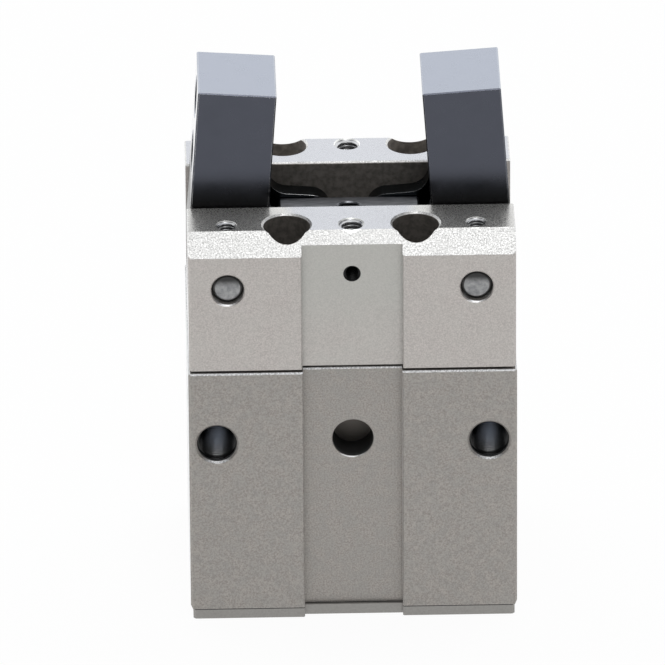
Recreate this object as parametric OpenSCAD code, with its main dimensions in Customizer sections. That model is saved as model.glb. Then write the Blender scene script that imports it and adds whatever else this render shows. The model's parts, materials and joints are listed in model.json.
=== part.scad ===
// Two-jaw angular gripper, pneumatic, with an enclosed piston drive.
// X runs across the jaws, the front face looks along -Y, Z points from the mounting face to the jaws.
// The origin is the centre of the mounting face. The jaws are drawn fully closed.
// Threads are drawn as plain holes of the thread's major diameter.

/* [Housing] */
// Width across the upper housing, jaw side to jaw side
body_w = 80; // [76:1:96]
// Depth of the upper housing, front to rear
body_d = 60; // [58:1:72]
// Height of the upper housing, which carries the jaws
upper_h = 36.5; // [35:0.1:44]
// Height of the lower housing, which holds the cylinder
lower_h = 65.1; // [63:0.1:84]
// Thickness of the bottom cover's plate
cover_t = 2.7; // [2.2:0.1:5]
// 45 degree chamfer along the top front and rear edges
top_chamfer = 5; // [2:0.5:6]
// Chamfer of the vertical corners
corner_chamfer = 0.6; // [0.4:0.1:2]
// Small chamfer that breaks the other outer edges
edge_break = 0.3; // [0.1:0.1:0.6]
// How far the lower housing stands proud of the upper one at each side
lower_step = 0.25; // [0:0.05:0.4]
// Height of the rebate under the upper housing
seam_gap = 0.75; // [0.3:0.05:1]
// Depth of the rebate at the left and right
seam_side = 0.6; // [0.3:0.1:1]
// Depth of the rebate at the front and rear
seam_depth = 1.4; // [0.5:0.1:1.6]
// How far the bottom cover is set back at each side
cover_inset = 0.6; // [0.2:0.1:1.5]

/* [Front and rear grooves] */
// Width of the vertical groove in the upper housing's front and rear faces
groove_w = 24.6; // [20:0.2:26]
// Depth of the groove in the upper housing
groove_depth = 2.2; // [1:0.1:2.4]
// Width of the groove in the lower housing and the bottom cover
lower_groove_w = 24.2; // [20:0.2:26]
// Depth of the groove in the lower housing
lower_groove = 2.6; // [1.5:0.1:2.7]
// Depth of the groove in the bottom cover
cover_groove = 1.5; // [0.5:0.1:2]

/* [Jaw slot] */
// Width of the slot that the jaws swing in
slot_w = 23.8; // [22:0.2:26]
// Distance from the top face down to the pivot pins
pivot_depth = 13.7; // [13:0.1:17]
// Clear height between the jaw hubs and the slot floor
floor_gap = 2.4; // [1:0.2:4]
// Chamfer along the top edges of the slot
slot_edge = 0.5; // [0.2:0.1:1]

/* [Jaws] */
// Thickness of a jaw across the gripper, equal to the hub's diameter
jaw_w = 19.2; // [17:0.2:20]
// Gap between a jaw and the slot wall at each side
jaw_gap = 0.2; // [0.1:0.05:0.4]
// Height of the jaw's top face above its pivot
jaw_rise = 44.2; // [38:0.2:60]
// Angle that a closed jaw leans inward past parallel
close_lean = 4; // [1:0.5:5]
// Angle that an open jaw leans outward past parallel
open_angle = 15; // [8:0.5:16]
// Diameter of the pivot pins
pivot_d = 8; // [6:0.5:8]
// How far the pivot pins' ends sit below the front and rear faces
pivot_recess = 1.2; // [0.5:0.1:2]
// Chamfer at the pivot pins' ends
pivot_chamfer = 0.9; // [0.3:0.1:1.2]
// Wall thickness of the jaw bushes
bush_wall = 1.5; // [1:0.1:2]

/* [Finger seats] */
// Diameter of the seats for centring sleeves around the finger threads
sleeve_d = 10.4; // [8:0.1:11]
// Depth of the sleeve seats in the jaw's outer face
sleeve_depth = 2.2; // [1:0.1:3]
// Distance from the jaw's top face to the first finger thread
finger_top = 6.7; // [6:0.1:8]
// Distance between the two finger threads
finger_pitch = 14.7; // [12:0.1:16]
// Depth of the finger threads below the sleeve seats
finger_depth = 12; // [8:0.5:12]

/* [Jaw arms] */
// Height of the arm's centre line above the pivot
arm_rise = 4.3; // [3.5:0.1:4.5]
// Height of the arm
arm_h = 10; // [9:0.2:11]
// Thickness of one arm prong
arm_t = 4.8; // [4:0.1:5.2]
// Radius of the fillet where the arm leaves the jaw
arm_fillet = 5; // [2:0.5:6]
// Length of the arm beyond its slot
arm_nose = 1.4; // [1:0.1:2]

/* [Drive head] */
// Distance from the gripper's centre to each drive pin
drive_pin_x = 11; // [10:0.2:12]
// Diameter of the drive pins
drive_pin_d = 5; // [4:0.2:5.4]
// Clearance of a drive pin in its slot, at each side
slot_clear = 0.12; // [0.11:0.01:0.2]
// Width of the drive head's material outside each drive pin
head_wing = 6.3; // [4.5:0.1:6.6]
// Thickness of the drive head, front to rear
head_t = 10.8; // [9:0.2:11]
// Gap between the drive head and each arm prong
head_gap = 0.3; // [0.1:0.05:0.4]
// Height of the drive head above its pins
head_over = 4.35; // [3.5:0.05:4.5]
// Height of the drive head below its pins
head_under = 9; // [8:0.2:9.6]

/* [Cylinder] */
// Bore of the cylinder
bore_d = 36; // [30:0.5:36]
// Diameter of the piston rod
rod_d = 14; // [10:0.5:14]
// Height of the cover's spigot inside the bore
spigot_h = 12.8; // [10:0.2:14]
// Length of the piston without its stop boss
piston_len = 25; // [22:0.5:26]
// Thickness of the wall above the cylinder
end_wall = 16.8; // [16.4:0.1:19]
// Cord diameter of the cover's O-ring
o_ring_cord = 2; // [1.5:0.1:3]
// Length of the rod bush
rod_bush_len = 9.6; // [7:0.2:9.6]

/* [Ports] */
// Distance of the port centres below the seam
port_drop = 19.3; // [18.9:0.1:21]
// Distance from a port's centre to the side face
port_edge = 6.6; // [6.2:0.1:8]
// Major diameter of the air port threads, G1/8
port_d = 9.73; // [7:0.01:9.8]
// Depth of the air port threads
port_depth = 20; // [12:0.5:21]
// Diameter of the air channels
channel_d = 4; // [3:0.1:4]
// Diameter of the locating pocket between the ports
pocket_d = 10; // [6:0.1:12]
// Depth of the locating pocket below the groove
pocket_depth = 8; // [3:0.1:8]
// How far the locating pocket sits below the ports
pocket_drop = 0.2; // [0:0.1:2]
// Diameter of the breather hole into the jaw slot
breather_d = 4.2; // [2:0.1:4.4]
// Distance of the breather hole below the top face
breather_drop = 10.7; // [10.6:0.1:14]

/* [Top face holes] */
// Distance of both rows of holes from the gripper's centre
rail_y = 21.9; // [20.5:0.1:22]
// Distance of the counterbored holes from the centre, along the row
bolt_x = 15.75; // [14.5:0.05:18]
// Diameter of the counterbores
counterbore_d = 11.4; // [10.6:0.1:11.6]
// Depth of the counterbores
counterbore_depth = 22; // [18:0.5:24]
// Distance from the side face to the outer threads
outer_thread_edge = 9.5; // [8:0.1:10]
// Depth of the tapped holes in the top face
tapped_depth = 8; // [5:0.5:8]

/* [Mounting face] */
// Half the spacing of the mounting threads, left to right
mount_x = 32; // [30:0.5:33]
// Half the spacing of the mounting threads, front to rear
mount_y = 20; // [18:0.5:22]
// Depth of the mounting threads in the lower housing
mount_depth = 14.8; // [8:0.2:18]
// Distance of the two dowel bores behind the centre
dowel_y = 7; // [5:0.5:9]
// Diameter of the two dowel bores
dowel_d = 6; // [4:0.5:6]
// Depth of the two dowel bores in the lower housing
dowel_depth = 10; // [6:0.5:14]

/* [Hidden] */
$fn = 64;

// Fits, as radial clearances
press = 0.01;
running = 0.03;
stop_gap = 0.2;
eps = 0.05;

// Threads and screws
m4 = 4;
m5 = 5;
m6 = 6;
m8 = 8;
thread_play = 0.05;
through_play = 0.3;
head_ratio = 5 / 3;
socket_depth = 0.5;

// Levels
lower_z = cover_t;
seam_z = lower_z + lower_h;
top_z = seam_z + upper_h;
pivot_z = top_z - pivot_depth;
floor_z = pivot_z - jaw_w / 2 - floor_gap;
port_z = seam_z - port_drop;

// Housing outlines
lower_w = body_w + 2 * lower_step;
lower_d = body_d + 2 * lower_step;
cover_w = lower_w - 2 * cover_inset;
cover_d = lower_d - 0.2;
lower_floor_y = lower_d / 2 - lower_groove;

// Jaws and their swing
pivot_x = (body_w - jaw_w) / 2;
jaw_t = slot_w - 2 * jaw_gap;
swing = close_lean + open_angle;
reach = pivot_x - drive_pin_x;
// Height of a pin above the pivot that keeps it on the slot's centre line, at an arm angle
function pin_height(a) = reach * tan(a) + arm_rise / cos(a);
// Distance of the pin along the slot, from the foot of the pivot
function pin_along(a) = reach / cos(a) + arm_rise * tan(a);
stroke = pin_height(open_angle) - pin_height(-close_lean);
mid_angle = (open_angle - close_lean) / 2;
sag = pin_height(mid_angle) - (pin_height(open_angle) + pin_height(-close_lean)) / 2;
pin_z = pivot_z + pin_height(-close_lean) + sag / 2;
slot_r = drive_pin_d / 2 + slot_clear;
slot_from = pin_along(-close_lean) - 0.3;
slot_to = pin_along(open_angle) + 0.3;
arm_tip = slot_to + slot_r + arm_nose - arm_h / 2;
arm_in = head_t / 2 + head_gap;
drive_pin_len = 2 * (arm_in + arm_t);

// Drive head and rod
head_w = 2 * (drive_pin_x + head_wing);
head_z = pin_z - head_under;
head_h = head_under + head_over;
stud_len = 7;

// Cylinder
bore_r = bore_d / 2;
rod_r = rod_d / 2;
end_wall_z = seam_z - end_wall;
piston_z = lower_z + spigot_h + stop_gap;
boss_top = end_wall_z - stop_gap - stroke;
boss_r = rod_r + 5;
relief_r = bore_r - 1.2;
relief_h = 5;
piston_r = bore_r - 0.2;
band_h = 5;
band_t = 1.5;
seal_h = 3;
seal_t = 3;
rod_seat = boss_top - 8;
seal_seat_h = 6;
seal_seat_r = rod_r + 4;
bush_r = rod_r + 2;
wiper_h = 4;
wiper_r = rod_r + 3;
rod_pass_r = rod_r + 0.3;

// Air channels
channel_r = channel_d / 2;
channel_y = -5;
port_x = body_w / 2 - port_edge;
pilot_r = 2.5;
low_channel_z = piston_z + relief_h / 2 + 0.1;
plug_len = 3.6;

// Screw places
screw_head_h = 6;
screw_grip = 16;
cover_screw_x = 16.5;
cover_screw_y = 17;
cover_screw_len = 12;
cover_head_h = 2;
house_dowel_x = 27;
house_dowel_len = 15.6;
piston_screw_head = 8;
piston_screw_grip = 14;

// The four corners of a rectangle, as places for children
module four(x, y) {
    for (sx = [-1, 1])
        for (sy = [-1, 1])
            translate([sx * x, sy * y, 0]) children();
}

// A blind hole that opens upward at the origin, with a chamfered rim
module blind_hole(d, depth, rim) {
    translate([0, 0, -depth]) cylinder(d = d, h = depth + eps);
    translate([0, 0, -rim]) cylinder(d1 = d, d2 = d + 2 * rim, h = rim);
    cylinder(d = d + 2 * rim, h = eps);
}

// A round bar along Z that stands on the origin, with both ends chamfered
module bar(d, len, rim) {
    rotate_extrude()
        polygon([[0, 0], [d / 2 - rim, 0], [d / 2, rim], [d / 2, len - rim],
                 [d / 2 - rim, len], [0, len]]);
}

// A tube along Z that stands on the origin
module tube(r_out, r_in, h) {
    rotate_extrude()
        translate([r_in, 0]) square([r_out - r_in, h]);
}

// A screw whose head sits below the origin and whose shank points up, with a hexagon socket
module cap_screw(d, head_h, len) {
    difference() {
        union() {
            translate([0, 0, -head_h]) bar(d * head_ratio, head_h, 0.4);
            translate([0, 0, -eps]) bar(d - 2 * thread_play, len + eps, 0.4);
        }
        translate([0, 0, -head_h - eps])
            cylinder(d = d * 0.96, h = d * socket_depth + eps, $fn = 6);
    }
}

// A rectangle with chamfered corners, centred on the origin
module chamfered_rect(w, d, c) {
    polygon([[c - w / 2, -d / 2], [w / 2 - c, -d / 2], [w / 2, c - d / 2], [w / 2, d / 2 - c],
             [w / 2 - c, d / 2], [c - w / 2, d / 2], [-w / 2, d / 2 - c], [-w / 2, c - d / 2]]);
}

// Plan of a housing: chamfered corners, with a groove in the front and rear faces
module plan(w, d, c, width, depth) {
    g = width / 2;
    difference() {
        chamfered_rect(w, d, c);
        for (s = [-1, 1])
            translate([0, s * d / 2])
                polygon([[-g - edge_break, 0], [-g, -s * edge_break], [-g, -s * depth],
                         [g, -s * depth], [g, -s * edge_break], [g + edge_break, 0],
                         [g, s], [-g, s]]);
    }
}

// Side outline of the upper housing with its slot, as a section across Y and Z
module upper_section() {
    b = body_d / 2;
    s = slot_w / 2;
    h = top_z - seam_z;
    f = floor_z - seam_z;
    polygon([[-b, 0], [b, 0], [b, h - top_chamfer], [b - top_chamfer, h], [s + slot_edge, h],
             [s, h - slot_edge], [s, f], [-s, f], [-s, h - slot_edge], [-s - slot_edge, h],
             [top_chamfer - b, h], [-b, h - top_chamfer]]);
}

// End outline across X and Z, which breaks the top edges at both sides
module upper_front() {
    h = top_z - seam_z;
    w = body_w / 2;
    polygon([[-w, 0], [w, 0], [w, h - edge_break], [w - edge_break, h],
             [edge_break - w, h], [-w, h - edge_break]]);
}

// The bores in the jaw rails: counterbored screw holes and tapped holes
module rail_holes() {
    four(bolt_x, rail_y) {
        translate([0, 0, top_z]) blind_hole(counterbore_d, counterbore_depth, 0.5);
        translate([0, 0, seam_z - eps])
            cylinder(r = m6 / 2 + through_play, h = top_z - seam_z);
    }
    for (s = [-1, 1])
        translate([0, s * rail_y, top_z]) blind_hole(m6, tapped_depth, 0.25);
    four(body_w / 2 - outer_thread_edge, rail_y)
        translate([0, 0, top_z]) blind_hole(m5, tapped_depth, 0.1);
}

module upper_housing() {
    rim = 0.3;
    color([0.74, 0.73, 0.71])
    difference() {
        intersection() {
            translate([0, 0, seam_z])
                linear_extrude(upper_h)
                    plan(body_w, body_d, corner_chamfer, groove_w, groove_depth);
            translate([0, 0, seam_z])
                rotate([90, 0, 90]) linear_extrude(body_w + 2, center = true) upper_section();
            translate([0, 0, seam_z])
                rotate([90, 0, 0]) linear_extrude(body_d + 2, center = true) upper_front();
        }
        // rebate around the seam
        translate([0, 0, seam_z - eps]) difference() {
            linear_extrude(seam_gap + eps) square([body_w + 2, body_d + 2], center = true);
            translate([0, 0, -eps]) linear_extrude(seam_gap + 3 * eps)
                plan(body_w - 2 * seam_side, body_d - 2 * seam_depth, corner_chamfer,
                     groove_w, groove_depth);
        }
        rail_holes();
        // pivot pin bores
        for (s = [-1, 1])
            translate([s * pivot_x, 0, pivot_z]) rotate([90, 0, 0]) {
                cylinder(r = pivot_d / 2 + press, h = body_d + 2, center = true);
                for (m = [0, 1])
                    mirror([0, 0, m]) translate([0, 0, body_d / 2 - rim])
                        cylinder(d1 = pivot_d, d2 = pivot_d + 2 * rim + 2 * eps, h = rim + eps);
            }
        // breather into the slot
        translate([0, -body_d / 2 - 1, top_z - breather_drop]) rotate([-90, 0, 0])
            cylinder(d = breather_d, h = (body_d - slot_w) / 2 + 2);
        // rod hole with the wiper's seat
        translate([0, 0, seam_z - eps]) cylinder(r = rod_pass_r, h = floor_z - seam_z);
        translate([0, 0, floor_z - wiper_h])
            cylinder(r = wiper_r + press, h = wiper_h + eps);
        for (s = [-1, 1])
            translate([s * house_dowel_x, -s * rail_y, seam_z - eps])
                cylinder(r = m6 / 2, h = house_dowel_len / 2 + 0.2 + eps);
    }
}

// Air paths inside the lower housing, drilled from the outside and plugged
module air_channels() {
    rim = 0.5;
    for (s = [-1, 1])
        translate([s * port_x, -lower_d / 2, port_z]) rotate([90, 0, 0]) {
            blind_hole(port_d, port_depth, rim);
            translate([0, 0, channel_y - lower_d / 2 - channel_r])
                cylinder(r = pilot_r, h = lower_d / 2 - channel_y - port_depth + channel_r + eps);
        }
    // into the room above the piston, and into the room below it
    for (side = [[-1, port_z], [1, low_channel_z]])
        translate([side[0] * lower_w / 2, channel_y, side[1]]) rotate([0, side[0] * 90, 0]) {
            translate([0, 0, -lower_w / 2 + bore_r - 4]) cylinder(r = channel_r, h = lower_w / 2);
            blind_hole(m5, plug_len + 0.4, 0.2);
        }
    // down from the right port
    translate([port_x, channel_y, lower_z]) {
        cylinder(r = channel_r, h = port_z - lower_z);
        rotate([180, 0, 0]) blind_hole(m5, plug_len + 0.4, 0.2);
    }
}

module lower_housing() {
    chamfer = 0.4;
    foot_chamfer = 0.5;
    color([0.56, 0.54, 0.51])
    difference() {
        intersection() {
            translate([0, 0, lower_z]) linear_extrude(lower_h)
                plan(lower_w, lower_d, corner_chamfer, lower_groove_w, lower_groove);
            // foot and head edges, broken at the sides
            translate([0, 0, lower_z]) rotate([90, 0, 0])
                linear_extrude(lower_d + 2, center = true)
                    polygon([[foot_chamfer - lower_w / 2, 0], [lower_w / 2 - foot_chamfer, 0],
                             [lower_w / 2, 2 * foot_chamfer], [lower_w / 2, lower_h - chamfer],
                             [lower_w / 2 - chamfer, lower_h], [chamfer - lower_w / 2, lower_h],
                             [-lower_w / 2, lower_h - chamfer],
                             [-lower_w / 2, 2 * foot_chamfer]]);
            // head edge, broken at the front and rear of the side panels
            translate([0, 0, lower_z]) rotate([90, 0, 90])
                linear_extrude(lower_w + 2, center = true)
                    polygon([[-lower_d / 2, 0], [lower_d / 2, 0],
                             [lower_d / 2, lower_h - chamfer], [lower_d / 2 - chamfer, lower_h],
                             [chamfer - lower_d / 2, lower_h],
                             [-lower_d / 2, lower_h - chamfer]]);
        }
        // head edge, broken in the grooves
        for (s = [-1, 1])
            translate([0, s * lower_floor_y, seam_z]) rotate([90, 0, 90])
                linear_extrude(lower_groove_w, center = true)
                    polygon([[-s * chamfer, 0], [s, 0], [0, -chamfer]]);
        // cylinder
        translate([0, 0, lower_z - eps])
            cylinder(r = bore_r, h = end_wall_z - lower_z + eps, $fn = 96);
        // rod passage: bush seat, web and seal seat
        translate([0, 0, end_wall_z - eps])
            cylinder(r = bush_r + press, h = rod_bush_len + eps);
        translate([0, 0, end_wall_z]) cylinder(r = rod_pass_r, h = end_wall);
        translate([0, 0, seam_z - seal_seat_h])
            cylinder(r = seal_seat_r + press, h = seal_seat_h + eps);
        air_channels();
        // locating pocket between the ports
        translate([0, -lower_floor_y, port_z - pocket_drop]) rotate([90, 0, 0])
            blind_hole(pocket_d, pocket_depth, 0.2);
        // threads of the housing screws, and the dowel holes
        four(bolt_x, rail_y) translate([0, 0, seam_z]) blind_hole(m6, screw_grip + 2, 0.3);
        for (s = [-1, 1])
            translate([s * house_dowel_x, -s * rail_y, seam_z])
                blind_hole(m6, house_dowel_len / 2 + 0.2, 0.2);
        // mounting threads, dowel bores and the cover screws' threads
        translate([0, 0, lower_z]) mirror([0, 0, 1]) {
            four(mount_x, mount_y) blind_hole(m6, mount_depth, 0.3);
            for (s = [-1, 1])
                translate([s * mount_x, dowel_y, 0]) blind_hole(dowel_d, dowel_depth, 0.2);
            four(cover_screw_x, cover_screw_y) blind_hole(m4, cover_screw_len, 0.2);
        }
    }
}

module bottom_cover() {
    spigot_r = bore_r - running;
    ring_z = lower_z + spigot_h / 2;
    color([0.52, 0.52, 0.49])
    difference() {
        union() {
            linear_extrude(cover_t)
                plan(cover_w, cover_d, corner_chamfer, lower_groove_w, cover_groove);
            translate([0, 0, cover_t - eps]) cylinder(r = spigot_r, h = spigot_h + eps, $fn = 96);
        }
        // groove of the O-ring
        translate([0, 0, ring_z - o_ring_cord / 2 - 0.2]) difference() {
            cylinder(r = spigot_r + 1, h = o_ring_cord + 0.4);
            translate([0, 0, -eps])
                cylinder(r = bore_r - o_ring_cord - 0.05, h = o_ring_cord + 0.4 + 2 * eps);
        }
        four(cover_screw_x, cover_screw_y) {
            translate([0, 0, -eps]) cylinder(r = m4 / 2 + 0.2, h = cover_t + 2 * eps);
            translate([0, 0, -eps])
                cylinder(r1 = m4 + 0.2 + eps, r2 = m4 / 2 + 0.2, h = cover_head_h + eps);
        }
        four(mount_x, mount_y)
            translate([0, 0, -eps]) cylinder(r = m6 / 2 + through_play, h = cover_t + 2 * eps);
        for (s = [-1, 1])
            translate([s * mount_x, dowel_y, -eps])
                cylinder(r = dowel_d / 2 + through_play, h = cover_t + 2 * eps);
    }
}

module cover_o_ring() {
    color([0.08, 0.08, 0.09])
    translate([0, 0, lower_z + spigot_h / 2])
        rotate_extrude($fn = 96)
            translate([bore_r - o_ring_cord / 2 - 0.02, 0]) circle(d = o_ring_cord, $fn = 24);
}

module cover_screws() {
    color([0.3, 0.3, 0.32])
    four(cover_screw_x, cover_screw_y) difference() {
        union() {
            translate([0, 0, 0.1])
                cylinder(r1 = m4, r2 = m4 / 2 - thread_play, h = cover_head_h - 0.1);
            translate([0, 0, cover_head_h - eps])
                bar(m4 - 2 * thread_play, cover_screw_len - cover_head_h, 0.3);
        }
        translate([0, 0, -eps]) cylinder(d = 2.6, h = 1.5, $fn = 6);
    }
}

module housing_screws() {
    color([0.2, 0.2, 0.22])
    four(bolt_x, rail_y)
        translate([0, 0, top_z - counterbore_depth]) mirror([0, 0, 1])
            cap_screw(m6, screw_head_h, top_z - counterbore_depth - seam_z + screw_grip);
}

module housing_dowels() {
    color([0.7, 0.71, 0.73])
    for (s = [-1, 1])
        translate([s * house_dowel_x, -s * rail_y, seam_z - house_dowel_len / 2])
            bar(m6 - 2 * press, house_dowel_len, 0.5);
}

// A set screw that sits just below the face at the origin and points down
module plug() {
    translate([0, 0, -plug_len - 0.2]) difference() {
        bar(m5 - 2 * thread_play, plug_len, 0.3);
        translate([0, 0, plug_len - 2]) cylinder(d = 2.6, h = 3, $fn = 6);
    }
}

module channel_plugs() {
    color([0.25, 0.25, 0.27]) {
        for (side = [[-1, port_z], [1, low_channel_z]])
            translate([side[0] * lower_w / 2, channel_y, side[1]])
                rotate([0, side[0] * 90, 0]) plug();
        translate([port_x, channel_y, lower_z]) rotate([180, 0, 0]) plug();
    }
}

module rod_bush() {
    color([0.72, 0.56, 0.32])
    translate([0, 0, end_wall_z]) tube(bush_r, rod_r + running, rod_bush_len);
}

module rod_seal() {
    color([0.1, 0.1, 0.11])
    translate([0, 0, seam_z - seal_seat_h]) rotate_extrude()
        polygon([[rod_r + 0.6, 0.2], [seal_seat_r, 0.2], [seal_seat_r, seal_seat_h - 0.1],
                 [rod_r + running, seal_seat_h - 0.1], [rod_r + running, seal_seat_h - 2]]);
}

module rod_wiper() {
    color([0.12, 0.12, 0.13])
    translate([0, 0, floor_z - wiper_h]) rotate_extrude()
        polygon([[rod_r + 0.6, 0], [wiper_r, 0], [wiper_r, wiper_h - 0.3],
                 [rod_r + running, wiper_h - 0.1], [rod_r + running, wiper_h - 1.6]]);
}

// A pivot pin along Y through one side of the housing
module pivot_pin(side) {
    len = body_d - 2 * pivot_recess;
    translate([side * pivot_x, len / 2, pivot_z]) rotate([90, 0, 0])
        bar(pivot_d, len, pivot_chamfer);
}

module left_pivot_pin() {
    color([0.62, 0.62, 0.62]) pivot_pin(-1);
}

module right_pivot_pin() {
    color([0.62, 0.62, 0.62]) pivot_pin(1);
}

// Outline of the arm across X and Z, seen from the front with the pivot at the origin
module arm_outline() {
    top = arm_rise + arm_h / 2;
    difference() {
        union() {
            translate([0, arm_rise - arm_h / 2]) square([arm_tip, arm_h]);
            translate([arm_tip, arm_rise]) circle(d = arm_h);
            difference() {
                translate([0, top - eps]) square([jaw_w / 2 + arm_fillet, arm_fillet + eps]);
                translate([jaw_w / 2 + arm_fillet, top + arm_fillet]) circle(r = arm_fillet);
            }
        }
        for (u = [slot_from, slot_to])
            translate([u, arm_rise]) circle(r = slot_r);
        translate([slot_from, arm_rise - slot_r]) square([slot_to - slot_from, 2 * slot_r]);
    }
}

// The jaw block with its round hub, all edges broken
module jaw_block() {
    w = jaw_w / 2;
    t = jaw_t / 2;
    c = edge_break;
    intersection() {
        rotate([90, 0, 0]) linear_extrude(jaw_t, center = true) union() {
            polygon([[-w, 0], [w, 0], [w, jaw_rise - c], [w - c, jaw_rise],
                     [c - w, jaw_rise], [-w, jaw_rise - c]]);
            circle(r = w);
        }
        translate([0, 0, -jaw_w]) linear_extrude(jaw_rise + jaw_w + 1)
            chamfered_rect(jaw_w, jaw_t, c);
        rotate([90, 0, 90]) linear_extrude(jaw_w + 1, center = true)
            polygon([[-t, -jaw_w], [t, -jaw_w], [t, jaw_rise - c], [t - c, jaw_rise],
                     [c - t, jaw_rise], [-t, jaw_rise - c]]);
    }
}

// A jaw seen from the front as the left one, with its pivot at the origin and its sides upright
module jaw() {
    difference() {
        union() {
            jaw_block();
            for (s = [-1, 1])
                translate([0, s * (arm_in + arm_t / 2), 0]) rotate([90, 0, 0])
                    linear_extrude(arm_t, center = true) arm_outline();
        }
        rotate([90, 0, 0])
            cylinder(r = pivot_d / 2 + bush_wall + press, h = jaw_t + 2, center = true);
        // finger threads and their sleeve seats in the outer face
        for (k = [0, 1])
            translate([-jaw_w / 2, 0, jaw_rise - finger_top - k * finger_pitch])
                rotate([0, -90, 0]) {
                    blind_hole(sleeve_d, sleeve_depth, 0.2);
                    translate([0, 0, -sleeve_depth]) blind_hole(m6, finger_depth, 0.3);
                }
    }
}

// Children drawn about the left pivot, leaned inward as in the closed gripper
module closed_left() {
    translate([-pivot_x, 0, pivot_z]) rotate([0, close_lean, 0]) children();
}

module closed_right() {
    mirror([1, 0, 0]) closed_left() children();
}

module left_jaw() {
    color([0.22, 0.23, 0.26]) closed_left() jaw();
}

module right_jaw() {
    color([0.22, 0.23, 0.26]) closed_right() jaw();
}

// The plain bush that is pressed into a jaw and turns on the pivot pin
module jaw_bush() {
    translate([0, jaw_t / 2, 0]) rotate([90, 0, 0])
        tube(pivot_d / 2 + bush_wall, pivot_d / 2 + running, jaw_t);
}

module left_jaw_bush() {
    color([0.72, 0.56, 0.32]) closed_left() jaw_bush();
}

module right_jaw_bush() {
    color([0.72, 0.56, 0.32]) closed_right() jaw_bush();
}

module drive_head() {
    color([0.5, 0.52, 0.56])
    difference() {
        translate([0, 0, head_z]) rotate([90, 0, 0]) linear_extrude(head_t, center = true)
            translate([0, head_h / 2]) chamfered_rect(head_w, head_h, 0.5);
        translate([0, 0, head_z - eps]) cylinder(r = m6 / 2, h = head_h + 2 * eps);
        translate([0, 0, head_z + head_h]) blind_hole(m6, 1, 0.35);
        for (s = [-1, 1])
            translate([s * drive_pin_x, 0, pin_z]) rotate([90, 0, 0])
                cylinder(r = drive_pin_d / 2 + press, h = head_t + 1, center = true);
    }
}

// A drive pin along Y, pressed into the head and running in both prongs of an arm
module drive_pin(side) {
    translate([side * drive_pin_x, drive_pin_len / 2, pin_z]) rotate([90, 0, 0])
        bar(drive_pin_d, drive_pin_len, 0.4);
}

module left_drive_pin() {
    color([0.66, 0.66, 0.68]) drive_pin(-1);
}

module right_drive_pin() {
    color([0.66, 0.66, 0.68]) drive_pin(1);
}

module piston_rod() {
    color([0.7, 0.71, 0.72])
    difference() {
        union() {
            translate([0, 0, rod_seat]) bar(rod_d, head_z - rod_seat, 0.5);
            translate([0, 0, head_z - eps]) bar(m6 - 2 * thread_play, stud_len + eps, 0.4);
        }
        translate([0, 0, rod_seat - eps]) cylinder(r = m8 / 2, h = piston_screw_grip + 2);
    }
}

// Section of the piston from its axis outward, with the seal grooves and the band's groove
module piston() {
    top = piston_z + piston_len;
    groove = bore_r - seal_t - 0.05;
    band_groove = bore_r - band_t - 0.05;
    seals = [piston_z + relief_h + 1, top - seal_h - 2];
    band = (seals[0] + seals[1] + seal_h - band_h) / 2;
    color([0.68, 0.7, 0.72])
    difference() {
        union() {
            translate([0, 0, piston_z]) cylinder(r = relief_r, h = piston_len, $fn = 96);
            translate([0, 0, piston_z + relief_h])
                cylinder(r = piston_r, h = piston_len - relief_h, $fn = 96);
            translate([0, 0, top - eps]) cylinder(r = boss_r, h = boss_top - top + eps);
        }
        for (z = seals)
            translate([0, 0, z - 0.1]) tube(bore_r + 1, groove, seal_h + 0.2);
        translate([0, 0, band - 0.1]) tube(bore_r + 1, band_groove, band_h + 0.2);
        translate([0, 0, rod_seat]) cylinder(r = rod_r + press, h = boss_top);
        translate([0, 0, piston_z - eps]) cylinder(r = m8 / 2 + 0.2, h = boss_top);
        translate([0, 0, piston_z - eps])
            cylinder(r = m8 * head_ratio / 2 + 0.2, h = piston_screw_head + 1 + eps);
    }
}

module piston_screw() {
    seat = piston_z + piston_screw_head + 1;
    color([0.2, 0.2, 0.22])
    translate([0, 0, seat])
        cap_screw(m8, piston_screw_head, rod_seat - seat + piston_screw_grip);
}

module piston_guide_band() {
    low = piston_z + relief_h + 1;
    high = piston_z + piston_len - seal_h - 2;
    color([0.45, 0.3, 0.16])
    translate([0, 0, (low + high + seal_h - band_h) / 2])
        tube(bore_r - running, bore_r - band_t, band_h);
}

// A piston seal whose lip touches the bore, in a groove that starts at a height
module piston_seal(z) {
    color([0.1, 0.1, 0.11])
    translate([0, 0, z]) rotate_extrude()
        polygon([[bore_r - seal_t, 0], [bore_r - 0.5, 0], [bore_r - running, 1],
                 [bore_r - running, seal_h - 1], [bore_r - 0.5, seal_h], [bore_r - seal_t, seal_h]]);
}

module upper_piston_seal() {
    piston_seal(piston_z + piston_len - seal_h - 2);
}

module lower_piston_seal() {
    piston_seal(piston_z + relief_h + 1);
}

upper_housing();
lower_housing();
bottom_cover();
cover_o_ring();
cover_screws();
housing_screws();
housing_dowels();
channel_plugs();
rod_bush();
rod_seal();
rod_wiper();
left_pivot_pin();
right_pivot_pin();
left_jaw();
right_jaw();
left_jaw_bush();
right_jaw_bush();
drive_head();
left_drive_pin();
right_drive_pin();
piston_rod();
piston();
piston_screw();
piston_guide_band();
upper_piston_seal();
lower_piston_seal();
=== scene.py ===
"""Looks of a pneumatic angular gripper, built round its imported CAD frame.

The CAD nodes keep their shape and get procedural finishes. The threads of the tapped holes are
added here as helical surfaces. Everything is in metres, with +Z from the foot to the jaws.
"""

import json
import math

import bpy
import numpy as np
from mathutils import Matrix, Vector


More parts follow.
